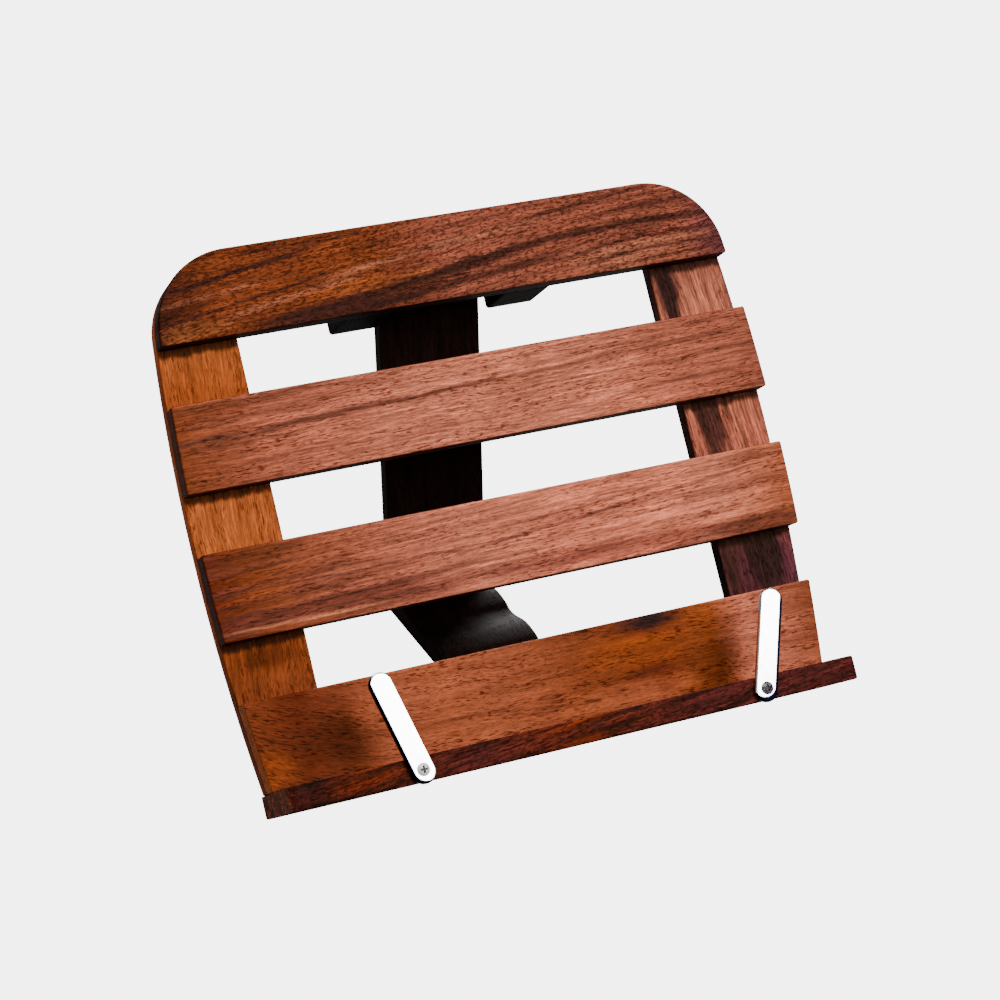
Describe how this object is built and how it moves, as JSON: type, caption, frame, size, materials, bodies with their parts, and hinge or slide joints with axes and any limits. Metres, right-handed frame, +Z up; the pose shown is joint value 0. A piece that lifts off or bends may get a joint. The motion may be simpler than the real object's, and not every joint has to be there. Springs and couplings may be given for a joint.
{
  "type": "folding book stand",
  "caption": "Folding slatted hardwood book stand with a ledge, two swivelling page arms, and a strut that stands in a notched base board.",
  "frame": {"origin": "on the table, under the middle of the bounding box of the set-up stand", "axes": "+X to the reader's right, +Y to the back, +Z up"},
  "size_m": [0.3216, 0.238, 0.2381],
  "materials": {
    "bottom_board_wood": "satin oil",
    "third_slat_wood": "satin oil",
    "second_slat_wood": "satin oil",
    "top_slat_wood": "satin oil",
    "left_rail_wood": "satin oil",
    "right_rail_wood": "satin oil",
    "ledge_wood": "satin oil",
    "left_top_block_wood": "satin oil",
    "left_low_block_wood": "satin oil",
    "steel": "bright zinc plated",
    "right_top_block_wood": "satin oil",
    "right_low_block_wood": "satin oil",
    "polished_arm": "polished",
    "base_board_wood": "satin oil",
    "support_strut_wood": "satin oil"
  },
  "bodies": {
    "panel": {"bottom_board": "bottom_board_wood", "third_slat": "third_slat_wood", "second_slat": "second_slat_wood", "top_slat": "top_slat_wood", "left_rail": "left_rail_wood", "right_rail": "right_rail_wood", "ledge": "ledge_wood", "left_top_block": "left_top_block_wood", "left_low_block": "left_low_block_wood", "left_arm_screw": "steel", "left_arm_washer": "steel", "right_top_block": "right_top_block_wood", "right_low_block": "right_low_block_wood", "right_arm_screw": "steel", "right_arm_washer": "steel", "strut_pin": "steel", "base_pin": "steel", "strut_spacer_washers": "steel", "base_spacer_washers": "steel", "rail_screws": "steel", "ledge_screws": "steel", "top_block_screws": "steel", "low_block_screws": "steel"},
    "strut": {"support_strut": "support_strut_wood"},
    "base": {"base_board": "base_board_wood"},
    "left_arm": {"left_page_arm": "polished_arm"},
    "right_arm": {"right_page_arm": "polished_arm"}
  },
  "joints": [
    {"name": "strut_fold", "type": "hinge", "parent": "panel", "child": "strut", "pos_m": [0, 0.10297, 0.21462], "axis": [-1, 0, 0], "range_deg": [0, 34.3]},
    {"name": "base_drop", "type": "hinge", "parent": "panel", "child": "base", "pos_m": [0, -0.03463, 0.01585], "axis": [-1, 0, 0], "range_deg": [0, 13.72]},
    {"name": "left_arm_swing", "type": "hinge", "parent": "panel", "child": "left_arm", "pos_m": [-0.0867, -0.11267, 0.03948], "axis": [0, -0.7955, 0.606], "range_deg": [-103.9, 76.1]},
    {"name": "right_arm_swing", "type": "hinge", "parent": "panel", "child": "right_arm", "pos_m": [0.0994, -0.11267, 0.03948], "axis": [0, -0.7955, 0.606], "range_deg": [-71.6, 108.4]}
  ],
  "couplings": [
    {"joint": "base_drop", "follows": "strut_fold", "ratio": 0.4}
  ]
}
